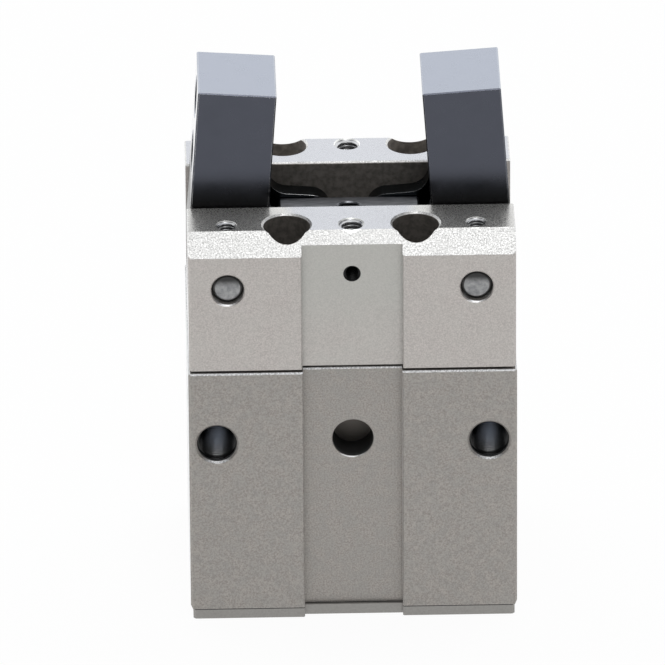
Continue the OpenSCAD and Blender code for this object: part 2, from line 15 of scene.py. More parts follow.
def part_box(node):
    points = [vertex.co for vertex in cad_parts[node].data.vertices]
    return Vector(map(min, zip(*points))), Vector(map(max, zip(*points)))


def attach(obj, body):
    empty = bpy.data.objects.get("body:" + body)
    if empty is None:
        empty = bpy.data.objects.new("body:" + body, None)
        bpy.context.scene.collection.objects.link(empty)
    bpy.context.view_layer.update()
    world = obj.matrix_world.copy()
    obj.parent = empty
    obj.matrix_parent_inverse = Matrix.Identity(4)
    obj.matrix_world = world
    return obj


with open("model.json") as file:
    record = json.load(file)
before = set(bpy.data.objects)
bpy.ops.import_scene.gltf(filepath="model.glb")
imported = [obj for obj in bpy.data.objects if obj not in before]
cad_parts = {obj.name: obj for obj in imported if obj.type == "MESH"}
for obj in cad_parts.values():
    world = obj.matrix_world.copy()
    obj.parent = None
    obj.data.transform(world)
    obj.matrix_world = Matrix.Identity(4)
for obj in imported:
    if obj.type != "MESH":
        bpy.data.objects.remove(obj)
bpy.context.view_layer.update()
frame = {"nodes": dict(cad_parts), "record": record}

MM = 0.001


def middle_of(low, high):
    """The point halfway between two corners."""
    return [(a + b) / 2 for a, b in zip(low, high)]


def pin_axis(name):
    """A point on the axis of a cross pin, and the pin's radius."""
    low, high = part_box(name)
    return middle_of(low, high), (high[0] - low[0]) / 2


def bore_axis(name):
    """The place and the radius of a bore that the record states as a mount."""
    return MOUNTS[name]["pos_m"], MOUNTS[name]["dims"]["r_mm"] * MM


def pattern_places(mount):
    """The places of the four holes of a rectangular pattern."""
    x, y, z = mount["pos_m"]
    half_x = mount["dims"]["spacing_x_mm"] * MM / 2
    half_y = mount["dims"]["spacing_y_mm"] * MM / 2
    return [(x + sx * half_x, y + sy * half_y, z) for sx in (-1, 1) for sy in (-1, 1)]


# Places taken from the frame: faces of the housing, and axes of its holes with their radii
MOUNTS = {mount["name"]: mount for mount in frame["record"]["mounts"]}
TOP_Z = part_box("upper_housing")[1][2]
SEAM_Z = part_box("upper_housing")[0][2]
COVER_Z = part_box("lower_housing")[0][2]
FRONT_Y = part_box("upper_housing")[0][1]
SLOT_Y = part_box("left_jaw")[1][1] + 0.2 * MM
PORT_X = MOUNTS["open_port"]["pos_m"][0]
PIVOT_PINS = [pin_axis(name) for name in ("left_pivot_pin", "right_pivot_pin")]
COUNTERBORE_R = 5.7 * MM
COUNTERBORES = [(middle_of(*opening["box_m"]), COUNTERBORE_R)
                for opening in frame["record"]["physics"]["openings"]
                if opening["name"].endswith("_counterbore")]
TOP_COVER = MOUNTS["top_cover_threads"]
TOP_THREADS = ([bore_axis(name) for name in ("front_top_thread", "rear_top_thread")]
               + [(place, TOP_COVER["dims"]["hole_r_mm"] * MM)
                  for place in pattern_places(TOP_COVER)])

# Places where a finish changes, as distances from the middle planes of the gripper
GROOVE_X = 12.3 * MM
ARM_X = 18.5 * MM
BROWN_X = 37.5 * MM
RAIL_X = (13 * MM, 17 * MM)
LEDGE_Y = 28.0 * MM
COLUMN_Y = 29.0 * MM

# Heights and depths between which a finish fades from one state to the other
TOP_SKIN_Z = (TOP_Z - 0.3 * MM, TOP_Z - 0.1 * MM)
GROOVE_FADE_Z = (TOP_Z - 30 * MM, TOP_Z - 12 * MM)
FOOT_SHADE_Z = (TOP_Z - 1 * MM, TOP_Z + 11 * MM)
SEAM_SHADE_Z = (SEAM_Z + 0.75 * MM, SEAM_Z + 0.70 * MM)
COVER_JOINT_Z = (COVER_Z - 0.30 * MM, COVER_Z - 0.24 * MM)
SLOT_WALL_Y = (SLOT_Y + 0.25 * MM, SLOT_Y + 0.05 * MM)
BROWN_LIGHTENS_Y = (5 * MM, 22 * MM)
FRONT_HALF_Y = (0.0, -1 * MM)
BREATHER_Y = (-SLOT_Y, -SLOT_Y - 1 * MM)
BORE_SHADE_Y = (FRONT_Y + 2.6 * MM, FRONT_Y + 4.6 * MM)
PORT_MOUTH_Y = (FRONT_Y + 1.7 * MM, FRONT_Y + 2.4 * MM)
PORT_DEPTH_Y = (FRONT_Y + 2 * MM, FRONT_Y + 15 * MM)
PORT_SIDES = (3.4 * MM, 1.6 * MM)

# Rings round the axis of a hole or pin: a mask is 1 up to the first and 0 past the second
BORE_SKIN = (0.02 * MM, 0.06 * MM)
SINK_RING = (0.7 * MM, 0.9 * MM)
PIN_RING = (0.1 * MM, 0.3 * MM)
PIN_CORE = (-1.2 * MM, -0.1 * MM)

# Painted highlights on the lower lips of bores, as Graph.lower_lip takes them
PIN_LIP_HIGHLIGHT = {"width": (0.38 * MM, 0.50 * MM), "share": (0.97, 0.85), "reach": (0.1 * MM, 0.9 * MM),
           "mouth": (FRONT_Y + 0.4 * MM, FRONT_Y + 0.6 * MM)}
POCKET_LIP_HIGHLIGHT = {"width": (0.25 * MM, 0.40 * MM), "share": (0.95, 0.80),
              "reach": (0.2 * MM, 1.2 * MM),
              "mouth": (FRONT_Y + 2.9 * MM, FRONT_Y + 3.2 * MM)}

# Tints: what the channels of a grey are multiplied by
SATIN_TINT = (1.065, 1.0, 0.955)
CLOUD_TINT = (1.01, 1.0, 0.94)
GROOVE_TINT = (0.99, 1.01, 0.95)
CHAMFER_TINT = (1.01, 1.0, 0.98)
SINK_TINT = (1.0, 1.0, 0.97)
GROUND_TINT = (0.975, 0.985, 1.035)
WARM_GROUND_TINT = (1.02, 1.0, 0.965)
BROWN_TINT = (1.10, 1.0, 0.90)
BLASTED_TINT = (1.07, 1.0, 0.93)
PATCH_TINT = (1.0, 1.0, 0.96)
COVER_TINT = (1.03, 1.0, 0.95)
JAW_TINT = (0.91, 0.97, 1.19)
JAW_SHEEN_TINT = (0.92, 0.98, 1.13)
ARM_TINT = (0.85, 1.0, 1.1)
STEEL_TINT = (1.0, 1.0, 1.01)
HEAD_TINT = (0.97, 0.99, 1.06)
PORT_TINT = (0.9, 0.98, 1.15)
PIN_TINT = (0.98, 1.0, 1.03)

# Threads: pitches, height and run-in as shares of the pitch, gaps to the hole's wall, lengths,
# starts below a face, and how finely they are drawn
M5_PITCH = 0.8 * MM
M6_PITCH = 1.0 * MM
G18_PITCH = 0.907 * MM
THREAD_HEIGHT = 0.64
THREAD_RUN_IN = 0.5
ROOT_GAP = 0.03 * MM
SKIN_GAP = 0.004 * MM
TOP_COVER_LENGTH = 7.8 * MM
TOP_COVER_START = 0.2 * MM
MOUNTING_LENGTH = 12 * MM
MOUNTING_START = 0.3 * MM
PORT_START = 0.9 * MM
STEPS_PER_PITCH = 16
STEPS_PER_TURN = 64

# Camera: a long lens that looks down at the front face
VIEW_YAW = math.radians(1.171)
VIEW_PITCH = math.radians(27.13)
VIEW_ROLL = math.radians(0.375)
VIEW_DISTANCE = 3.340
VIEW_TARGET = Vector((-4.28 * MM, 0, 63.30 * MM))
VIEW_CLIP = 20
SENSOR = 36.0
LENS = 732.8

# Room: brightness of its parts and which way they lie, and the floor's reach and shades, with
# the share of its look that is its own glow
SKY_BEHIND = 1.3
SKY_OVERHEAD = 1.2
SKY_FRONT = 0.10
SKY_BY_CAMERA = 0.08
BEHIND = (0, 1, 0)
OVERHEAD = (0, -0.45, 0.89)
BY_CAMERA = (0, -0.89, 0.456)
SKY_TINT = (0.97, 0.985, 1.0)
FLOOR_REACH = 4.0
FLOOR_SHADES = (0.92, 0.95)
FLOOR_GLOW = 0.95

# Lamp: a softbox above the front, with its size and the brightness of its surface
LAMP_PLACE = (0.15, -0.70, 1.40)
LAMP_AIM = (0, 0, 0.06)
LAMP_SIZE = (0.45, 0.35)
LAMP_GLOW = 4.0


# ---------------------------------------------------------------- shader helpers

def grey(value, tint=(1.0, 1.0, 1.0)):
    """A linear colour of that brightness, times a tint."""
    return (value * tint[0], value * tint[1], value * tint[2], 1.0)


class Graph:
    """A node tree with short calls that add nodes and link their inputs."""

    def __init__(self, tree):
        self.tree = tree
        self.tree.nodes.clear()
        self.place = self.tree.nodes.new("ShaderNodeTexCoord").outputs

    def fill(self, socket, value):
        """Gives a socket a number, a colour or another node's output."""
        if isinstance(value, bpy.types.NodeSocket):
            self.tree.links.new(value, socket)
        else:
            socket.default_value = value

    def add(self, kind, inputs, **settings):
        """A new node with its inputs filled, by name or number, and its settings made."""
        node = self.tree.nodes.new("ShaderNode" + kind)
        for key, value in settings.items():
            setattr(node, key, value)
        for key, value in inputs.items():
            self.fill(node.inputs[key], value)
        return node

    def math(self, operation, a, b=0.0):
        """One operation on two numbers, or on the first alone."""
        return self.add("Math", {0: a, 1: b}, operation=operation).outputs[0]

    def product(self, *factors):
        """All the factors multiplied."""
        result = factors[0]
        for factor in factors[1:]:
            result = self.math("MULTIPLY", result, factor)
        return result

    def total(self, *terms):
        """All the terms added."""
        result = terms[0]
        for term in terms[1:]:
            result = self.math("ADD", result, term)
        return result

    def ramp(self, value, low, high, to_low=0.0, to_high=1.0):
        """A smooth step from to_low to to_high as value goes from low to high."""
        return self.add("MapRange", {"Value": value, "From Min": low, "From Max": high,
                                     "To Min": to_low, "To Max": to_high},
                        interpolation_type="SMOOTHSTEP").outputs[0]

    def mix(self, factor, a, b):
        """Colour a where factor is 0 and b where it is 1."""
        node = self.add("Mix", {}, data_type="RGBA")
        for index, value in ((0, factor), (6, a), (7, b)):
            self.fill(node.inputs[index], value)
        return node.outputs[2]

    def shades(self, factor, low, high, tint=(1.0, 1.0, 1.0)):
        """From one grey to another as factor goes from 0 to 1, both times the same tint."""
        return self.mix(factor, grey(low, tint), grey(high, tint))

    def noise(self, size, detail=2.0, rough=0.5, stretch=(1, 1, 1)):
        """Noise whose cells are about size metres across, longer along an axis by its stretch."""
        scaled = self.add("Mapping", {"Vector": self.place["Object"],
                                      "Scale": [1 / s for s in stretch]}).outputs[0]
        return self.add("TexNoise", {"Vector": scaled, "Scale": 1 / size, "Detail": detail,
                                     "Roughness": rough}).outputs["Fac"]

    def axis(self, which, letter):
        """One component of the object place, the normal or, in a world, the direction."""
        return self.add("SeparateXYZ", {0: self.place[which]}).outputs[letter]

    def from_middle(self, letter):
        """How far a point lies to either side of the middle plane across an axis."""
        return self.math("ABSOLUTE", self.axis("Object", letter))

    def toward(self, direction):
        """How closely a world direction points along the given one, as a cosine."""
        unit = Vector(direction).normalized()
        return self.add("VectorMath", {0: self.place["Generated"], 1: unit},
                        operation="DOT_PRODUCT").outputs["Value"]

    def bump(self, height, depth, normal=None):
        """Normals tilted by a height that stands for a relief of that depth, over given ones."""
        inputs = {"Height": height, "Distance": depth, "Strength": 1.0}
        if normal is not None:
            inputs["Normal"] = normal
        return self.add("Bump", inputs).outputs[0]

    def round_edge(self, radius):
        """Normals that round an edge by that radius, so that it catches the light."""
        return self.add("Bevel", {"Radius": radius}, samples=6).outputs[0]

    def edge_band(self, radius):
        """1 on the edges of a solid, within about that radius, and 0 on its faces."""
        flat = self.add("NewGeometry", {}).outputs["Normal"]
        match = self.add("VectorMath", {0: self.round_edge(radius), 1: flat},
                         operation="DOT_PRODUCT").outputs["Value"]
        return self.ramp(match, 0.985, 0.93)

    def near_line(self, point, along, inner, outer):
        """1 within inner metres of a line through point along an axis, and 0 beyond outer."""
        across = tuple(0.0 if letter == along else 1.0 for letter in "XYZ")
        offset = self.add("VectorMath", {0: self.place["Object"], 1: point},
                          operation="SUBTRACT").outputs[0]
        flat = self.add("VectorMath", {0: offset, 1: across}, operation="MULTIPLY").outputs[0]
        distance = self.add("VectorMath", {0: flat}, operation="LENGTH").outputs["Value"]
        return self.ramp(distance, outer, inner)

    def ring(self, point, along, radius, edge):
        """1 up to the first distance of edge outside a radius, and 0 past the second."""
        return self.near_line(point, along, radius + edge[0], radius + edge[1])

    def lower_lip(self, point, radius, width, share, reach, mouth):
        """1 on the lower lip of a bore that opens to the front, mostly left of its middle.

        Each pair says where the mask is 1 and where it has faded to 0: how far outside the
        bore, at which share of the radius below the axis, how far to the right and at which Y.
        """
        return self.product(
            self.ring(point, "Y", radius, width),
            self.ramp(self.axis("Object", "Y"), mouth[1], mouth[0]),
            self.ramp(self.axis("Object", "Z"), point[2] - share[1] * radius,
                      point[2] - share[0] * radius),
            self.ramp(self.axis("Object", "X"), point[0] + reach[1], point[0] + reach[0]))

    def facing(self):
        """0 where a surface is seen head on, up to 1 where it is seen edge on."""
        return self.add("LayerWeight", {"Blend": 0.5}).outputs["Facing"]

    def finish(self, shader):
        """Sends a shader to the tree's output."""
        kind = "OutputWorld" if self.tree.id_data.id_type == "WORLD" else "OutputMaterial"
        output = self.tree.nodes.new("ShaderNode" + kind)
        self.tree.links.new(shader.outputs[0], output.inputs["Surface"])


def new_material(name):
    """A material and the graph of its node tree."""
    material = bpy.data.materials.new(name)
    material.use_nodes = True
    return material, Graph(material.node_tree)


def principled(graph, **inputs):
    """Ends a graph in a principled shader. Underscores in a name stand for spaces."""
    named = {key.replace("_", " "): value for key, value in inputs.items()}
    graph.finish(graph.add("BsdfPrincipled", named))


# ---------------------------------------------------------------- finishes

def upper_housing_finish():
    """Satin anodised block: ground top, blasted chamfers painted bright as a highlight, and a dark
    brown slot.
    """
    material, g = new_material("anodised_satin")
    up = g.axis("Normal", "Z")
    height = g.axis("Object", "Z")
    depth = g.axis("Object", "Y")
    beside = g.from_middle("X")
    across = g.from_middle("Y")
    top = g.product(g.ramp(up, 0.95, 0.99), g.ramp(height, *TOP_SKIN_Z))
    slope = g.product(g.ramp(up, 0.55, 0.68), g.ramp(up, 0.9, 0.74))

    # sides: fine grain with faint clouds, smoother and greener in the groove
    grain = g.noise(0.35 * MM, 3.0, 0.65)
    side = g.shades(g.ramp(grain, 0.3, 0.7), 0.435, 0.595, SATIN_TINT)
    cloud = g.noise(6 * MM, 2.0)
    side = g.mix(g.ramp(cloud, 0.3, 0.7, 0.0, 0.25), side, grey(0.56, CLOUD_TINT))
    groove = g.product(g.ramp(beside, GROOVE_X + 0.3 * MM, GROOVE_X),
                       g.ramp(height, *GROOVE_FADE_Z, 0.2, 0.6))
    side = g.mix(groove, side, grey(0.515, GROOVE_TINT))

    # chamfers and countersinks that face up: blasted grain, painted lighter as a highlight
    speck = g.noise(0.36 * MM, 4.0, 0.72)
    chamfer_highlight = g.shades(g.ramp(speck, 0.38, 0.62), 0.51, 0.84, CHAMFER_TINT)
    colour = g.mix(slope, side, chamfer_highlight)

    # top: cool ground metal, painted lighter and warmer in front of the jaws to brighten their
    # reflection there
    fine = g.noise(0.16 * MM, 3.0, 0.7)
    ground = g.shades(fine, 0.47, 0.60, GROUND_TINT)
    jaw_reflection_tone = g.shades(fine, 0.52, 0.68, WARM_GROUND_TINT)
    by_jaw = g.product(g.ramp(beside, *RAIL_X), g.ramp(depth, *FRONT_HALF_Y))
    colour = g.mix(top, colour, g.mix(by_jaw, ground, jaw_reflection_tone))
    # painted highlight: the countersinks of the top threads are painted white where they face up
    for place, radius in TOP_THREADS:
        sunk = g.ring(place, "Z", radius, SINK_RING)
        colour = g.mix(g.product(sunk, slope), colour, grey(1.0, SINK_TINT))

    # painted reflection: faces seen edge on are painted white, as the white room they mirror
    # there; painted shade: the walls of the groove are painted dark grey instead
    colour = g.mix(g.ramp(g.facing(), 0.86, 0.97), colour, grey(1.0))
    sideways = g.math("ABSOLUTE", g.axis("Normal", "X"))
    groove_wall_shade = g.product(g.ramp(sideways, 0.9, 0.98),
                            g.ramp(beside, GROOVE_X + 0.5 * MM, GROOVE_X + 0.2 * MM))
    colour = g.mix(groove_wall_shade, colour, grey(0.30))

    # the slot and the counterbores are dark brown, lighter toward the rear; painted shade: the
    # edge along the seam is painted near black, for the shadow in the gap there
    level = g.product(g.ramp(g.noise(1.5 * MM, 3.0, 0.6), 0.25, 0.75, 0.10, 0.20),
                      g.ramp(depth, *BROWN_LIGHTENS_Y, 1.0, 1.9))
    slot_brown = g.shades(level, 0.0, 1.0, BROWN_TINT)
    brown_area = g.product(g.ramp(across, *SLOT_WALL_Y), g.ramp(beside, BROWN_X + 1 * MM, BROWN_X))
    colour = g.mix(brown_area, colour, slot_brown)
    colour = g.mix(g.ramp(height, *SEAM_SHADE_Z), colour, grey(0.03))
    # painted highlight: the lower lips of the pin bores are painted white
    for place, radius in PIVOT_PINS:
        colour = g.mix(g.lower_lip(place, radius, **PIN_LIP_HIGHLIGHT), colour, grey(1.0))
    for place, radius in COUNTERBORES:
        inside = g.ring(place, "Z", radius, BORE_SKIN)
        colour = g.mix(inside, colour, slot_brown)
        brown_area = g.math("MAXIMUM", brown_area, inside)
    # painted shade: the inside of the breather is painted near black
    place, radius = bore_axis("breather")
    breather = g.product(g.ring(place, "Y", radius, BORE_SKIN), g.ramp(depth, *BREATHER_Y))
    colour = g.mix(breather, colour, grey(0.03))

    # the surface is smoother where it is seen edge on
    head_on = g.ramp(g.facing(), 0.97, 0.90)
    bumps = g.product(g.noise(0.28 * MM, 2.0, 0.6), head_on)
    satin = g.ramp(g.noise(0.32 * MM, 3.0, 0.7), 0.35, 0.65, 0.36, 0.56)
    rough = g.mix(top, g.mix(head_on, grey(0.15), satin),
                  g.shades(g.ramp(speck, 0.4, 0.6), 0.20, 0.42))
    metal = g.total(g.product(brown_area, -0.65), g.product(top, -0.07), 0.85)
    principled(g, Base_Color=colour, Metallic=metal, Roughness=rough,
               Normal=g.bump(bumps, 0.012 * MM, g.round_edge(0.08 * MM)))
    return material


def lower_housing_finish():
    """Hard anodised over a blasted surface: brownish grey with a coarse grain."""
    material, g = new_material("anodised_blasted")
    up = g.axis("Normal", "Z")
    depth = g.axis("Object", "Y")
    grain = g.noise(0.4 * MM, 3.0, 0.7)
    colour = g.shades(g.ramp(grain, 0.3, 0.7), 0.29, 0.46, BLASTED_TINT)
    patch = g.noise(3 * MM, 2.0)
    colour = g.mix(g.ramp(patch, 0.35, 0.65, 0.0, 0.3), colour, grey(0.36, PATCH_TINT))
    # painted highlight: faces that slope up, the chamfers, are painted lighter; painted
    # reflection: faces seen edge on are painted white
    slope = g.product(g.ramp(up, 0.5, 0.66), g.ramp(up, 0.95, 0.78))
    colour = g.mix(slope, colour, g.shades(g.ramp(grain, 0.42, 0.58), 0.45, 0.80))
    colour = g.mix(g.ramp(g.facing(), 0.86, 0.97), colour, grey(1.0))

    # painted highlight: the lower lip of the pocket is painted white
    lip = g.lower_lip(*bore_axis("front_pocket"), **POCKET_LIP_HIGHLIGHT)
    colour = g.mix(lip, colour, grey(1.0))

    # painted shade: the walls of the ports and the pocket are painted dark, darker further in, and
    # end in a brown disc
    wall = g.shades(g.ramp(depth, *BORE_SHADE_Y), 0.14, 0.07)
    disc = g.ramp(g.axis("Normal", "Y"), -0.5, -0.9)
    wall = g.mix(disc, wall, grey(0.16, BROWN_TINT))
    front_half = g.ramp(depth, *FRONT_HALF_Y)
    for name in ("close_port", "open_port", "front_pocket"):
        place, radius = bore_axis(name)
        inside = g.ring(place, "Y", radius, BORE_SKIN)
        colour = g.mix(g.product(inside, front_half), colour, wall)
    principled(g, Base_Color=colour, Metallic=0.7, Roughness=0.5,
               Normal=g.bump(g.noise(0.3 * MM, 2.0, 0.6), 0.02 * MM, g.round_edge(0.08 * MM)))
    return material


def cover_finish():
    """Anodised plate, a little greener than the housing above it, with a dark joint on top."""
    material, g = new_material("anodised_plate")
    grain = g.noise(0.5 * MM, 2.0, 0.6)
    colour = g.shades(grain, 0.28, 0.39, COVER_TINT)
    # the joint leaves out the front half of the ledge in the groove
    across = g.from_middle("Y")
    joint = g.product(g.ramp(g.axis("Object", "Z"), *COVER_JOINT_Z),
                      g.math("MAXIMUM", g.ramp(across, COLUMN_Y, COLUMN_Y + 0.2 * MM),
                             g.ramp(across, LEDGE_Y + 0.05 * MM, LEDGE_Y - 0.05 * MM)))
    colour = g.mix(joint, colour, grey(0.06))
    principled(g, Base_Color=colour, Metallic=0.75, Roughness=0.45,
               Normal=g.bump(grain, 0.01 * MM, g.round_edge(0.1 * MM)))
    return material


def jaw_finish():
    """Blackened hardened steel: near black head on, with a painted bluish reflection at a shallow
    angle.
    """
    material, g = new_material("blackened_steel")
    cloud = g.noise(5 * MM, 3.0, 0.6)
    head_on = g.shades(cloud, 0.076, 0.098, JAW_TINT)
    # painted reflection: bluish grey at a shallow angle and white edge on, like the room the steel
    # mirrors there
    shallow = g.mix(g.ramp(g.facing(), 0.3, 0.62), head_on, grey(0.38, JAW_SHEEN_TINT))
    colour = g.mix(g.ramp(g.facing(), 0.7, 0.96), shallow, grey(1.0))
    # painted shade: the arm in the slot and the foot of the finger are painted darker, for the
    # shade of the slot
    beyond_arm = g.ramp(g.from_middle("X"), ARM_X, ARM_X + 1 * MM)
    dark = g.mix(beyond_arm, grey(0.05, ARM_TINT), grey(0.02))
    colour = g.mix(g.ramp(g.axis("Object", "Z"), *FOOT_SHADE_Z), dark, colour)
    # painted highlight: edges are painted light grey in places, those of the right jaw less, for
    # the glints along them
    edge_highlight = g.product(g.edge_band(0.15 * MM), g.ramp(cloud, 0.35, 0.5),
                     g.ramp(g.axis("Object", "X"), 0.0, 5 * MM, 1.0, 0.35))
    colour = g.mix(edge_highlight, colour, grey(0.7))
    lines = g.noise(0.25 * MM, 2.0, 0.5, (1, 1, 8))
    principled(g, Base_Color=colour, Metallic=1.0, Roughness=g.ramp(cloud, 0.3, 0.7, 0.20, 0.28),
               Normal=g.bump(lines, 0.002 * MM, g.round_edge(0.15 * MM)))
    return material


def steel_finish(name, low, high, rough):
    """Ground steel with fine marks."""
    material, g = new_material(name)
    marks = g.noise(0.3 * MM, 3.0, 0.6)
    principled(g, Base_Color=g.shades(marks, low, high, STEEL_TINT), Metallic=1.0,
               Roughness=rough, Normal=g.bump(marks, 0.004 * MM, g.round_edge(0.1 * MM)))
    return material


def drive_head_finish():
    """Ground steel whose fine lines run along the slot."""
    material, g = new_material("drive_head_steel")
    lines = g.noise(0.35 * MM, 3.0, 0.6, (9, 1, 1))
    colour = g.shades(g.ramp(lines, 0.3, 0.7), 0.15, 0.27, HEAD_TINT)
    principled(g, Base_Color=colour, Metallic=1.0, Roughness=0.32,
               Normal=g.bump(lines, 0.006 * MM, g.round_edge(0.1 * MM)))
    return material


def port_thread_finish():
    """Dark thread, painted lighter and bluer toward a port's bottom as the light reaching in
    there, and painted near black at its sides and mouth as shade.
    """
    material, g = new_material("port_thread")
    depth = g.axis("Object", "Y")
    marks = g.noise(0.3 * MM, 3.0, 0.6)
    mouth = g.shades(marks, 0.18, 0.28)
    bottom = g.shades(marks, 0.60, 0.78, PORT_TINT)
    # painted light deeper in; painted shade at the mouth and at the sides
    painted_depth_light = g.mix(g.ramp(depth, *PORT_DEPTH_Y), mouth, bottom)
    past_mouth = g.ramp(depth, *PORT_MOUTH_Y)
    from_axis = g.math("ABSOLUTE", g.math("SUBTRACT", g.from_middle("X"), PORT_X))
    middle = g.ramp(from_axis, *PORT_SIDES, 0.12, 1.0)
    colour = g.mix(g.product(past_mouth, middle), grey(0.03), painted_depth_light)
    principled(g, Base_Color=colour, Metallic=1.0, Roughness=0.19,
               Normal=g.bump(marks, 0.01 * MM))
    return material


def pin_finish():
    """Ground pin in blotchy greys, whose ends have a painted dark ring at the rim and a painted
    shadow toward the top, where the bore's rim shades them.
    """
    material, g = new_material("ground_pin_steel")
    blotch = g.noise(1.1 * MM, 4.0, 0.65)
    colour = g.mix(g.ramp(blotch, 0.25, 0.75), grey(0.28, PIN_TINT), grey(0.46))
    # painted shade: a dark ring at the rim of each pin end; painted shadow: the upper part of each
    # end
    for place, radius in PIVOT_PINS:
        pin = g.ring(place, "Y", radius, PIN_RING)
        core = g.ring(place, "Y", radius, PIN_CORE)
        colour = g.mix(g.product(pin, g.math("SUBTRACT", 1.0, core)), colour, grey(0.07))
        upper = g.ramp(g.axis("Object", "Z"), place[2] + 0.05 * radius, place[2] + 0.60 * radius)
        colour = g.mix(g.product(pin, upper), colour, grey(0.05))
    marks = g.noise(0.25 * MM, 3.0, 0.6)
    principled(g, Base_Color=colour, Metallic=0.6, Roughness=g.ramp(blotch, 0.3, 0.7, 0.55, 0.4),
               Normal=g.bump(marks, 0.006 * MM, g.round_edge(0.1 * MM)))
    return material


def grainy_finish(name, low, high, grain, metallic, rough):
    """A plain material whose colour wanders between two shades with its grain."""
    material, g = new_material(name)
    grains = g.noise(grain, 2.0, 0.7)
    principled(g, Base_Color=g.mix(grains, low, high), Metallic=metallic, Roughness=rough,
               Normal=g.bump(grains, 0.01 * MM))
    return material


FINISHES = {
    "upper_housing": upper_housing_finish(),
    "lower_housing": lower_housing_finish(),
    "cover": cover_finish(),
    "rubber": grainy_finish("moulded_rubber", grey(0.012), grey(0.03), 0.6 * MM, 0.0, 0.6),
    "screw": steel_finish("black_oxide_screw", 0.03, 0.08, 0.38),
    "pin": pin_finish(),
    "bush": grainy_finish("sintered_bronze", (0.36, 0.20, 0.08, 1.0), (0.56, 0.35, 0.16, 1.0),
                          0.2 * MM, 1.0, 0.4),
    "jaw": jaw_finish(),
    "drive_head": drive_head_finish(),
    "rod": steel_finish("polished_rod_steel", 0.55, 0.66, 0.16),
    "piston": steel_finish("turned_aluminium", 0.62, 0.75, 0.3),
    "guide_band": grainy_finish("filled_ptfe", (0.10, 0.05, 0.02, 1.0), (0.22, 0.12, 0.06, 1.0),
                                0.3 * MM, 0.0, 0.55),
}
DARK_THREAD = steel_finish("thread_anodised", 0.10, 0.22, 0.35)
# painted shade: a darker copy of the anodised thread, for the shade inside the breather
BREATHER_THREAD_SHADED = steel_finish("thread_breather", 0.01, 0.05, 0.35)
PORT_THREAD = port_thread_finish()
BRIGHT_THREAD = steel_finish("thread_bright", 0.45, 0.62, 0.28)


def dress_nodes():
    """Gives each CAD node the finish of its material slot."""
    slots = {part["node"]: part["material_slot"] for part in frame["record"]["subparts"]}
    for name, node in frame["nodes"].items():
        node.data.materials.clear()
        node.data.materials.append(FINISHES[slots[name]])


# ---------------------------------------------------------------- surfaces on a grid

def grid_piece(name, points, material):
    """A closed piece from a grid of points that wraps round in both directions.

    points[i, j] are the corners; each face joins (i, j), (i+1, j), (i+1, j+1) and (i, j+1).
    """
    rows, columns = points.shape[:2]
    index = np.arange(rows * columns).reshape(rows, columns)
    beside = np.roll(index, -1, axis=1)
    below = np.roll(index, -1, axis=0)
    across = np.roll(below, -1, axis=1)
    faces = np.stack([index, below, across, beside], axis=-1).reshape(-1, 4)
    corners = points.reshape(-1, 3)
    # six times the volume, from the triangles at the grid's faces: negative means inside out
    a, b, c, d = (corners[faces[:, k]] for k in range(4))
    volume = np.sum(a * (np.cross(b, c) + np.cross(c, d)))
    if volume < 0:
        faces = faces[:, ::-1]
    mesh = bpy.data.meshes.new(name)
    mesh.vertices.add(len(corners))
    mesh.vertices.foreach_set("co", corners.astype(np.float32).ravel())
    mesh.loops.add(faces.size)
    mesh.loops.foreach_set("vertex_index", faces.astype(np.int32).ravel())
    mesh.polygons.add(len(faces))
    mesh.polygons.foreach_set("loop_start", np.arange(0, faces.size, 4, dtype=np.int32))
    mesh.polygons.foreach_set("use_smooth", np.ones(len(faces), dtype=bool))
    mesh.update(calc_edges=True)
    mesh.materials.append(material)
    piece = bpy.data.objects.new(name, mesh)
    bpy.context.scene.collection.objects.link(piece)
    return piece


def upright(axis):
    """Two unit vectors at right angles to axis and to each other."""
    helper = np.array([0.0, 0.0, 1.0]) if abs(axis[2]) < 0.9 else np.array([1.0, 0.0, 0.0])
    u = np.cross(helper, axis)
    u /= np.linalg.norm(u)
    return u, np.cross(axis, u)


def thread(name, mouth, axis, radius, length, pitch, material, body):
    """The threaded wall of a hole, as a closed ring with a helical inner side.

    A point at turn angle a and depth z has radius R - h * w(z / pitch - a / 2 pi), where w is a
    triangle wave with a sixth of its height cut flat at crest and root, and h is the thread's
    height, which grows from nothing over the run-in. The outer side is a plain cylinder just
    inside the hole's wall.
    """
    axis = np.array(axis, dtype=float)
    axis /= np.linalg.norm(axis)
    u, v = upright(axis)
    angle = np.linspace(0, 2 * math.pi, STEPS_PER_TURN, endpoint=False)
    depth = np.linspace(0, length, int(length / pitch * STEPS_PER_PITCH) + 1)
    phase = depth[:, None] / pitch - angle[None, :] / (2 * math.pi)
    wave = np.abs(((phase + 0.5) % 1.0) - 0.5) * 2
    wave = np.clip(wave * 1.5 - 0.25, 0, 1)
    height = THREAD_HEIGHT * pitch
    run_in = np.clip(depth / (THREAD_RUN_IN * pitch), 0, 1)[:, None]
    inner = radius - ROOT_GAP - height * (1 - wave) * run_in
    outer = np.full((2, STEPS_PER_TURN), radius - SKIN_GAP)
    radii = np.vstack([inner, outer])
    depths = np.concatenate([depth, [length, 0.0]])[:, None]
    direction = u * np.cos(angle)[:, None] + v * np.sin(angle)[:, None]
    points = (np.array(mouth, dtype=float) + radii[:, :, None] * direction[None, :, :]
              - depths[:, :, None] * axis)
    piece = grid_piece(name, points, material)
    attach(piece, body)
    return piece


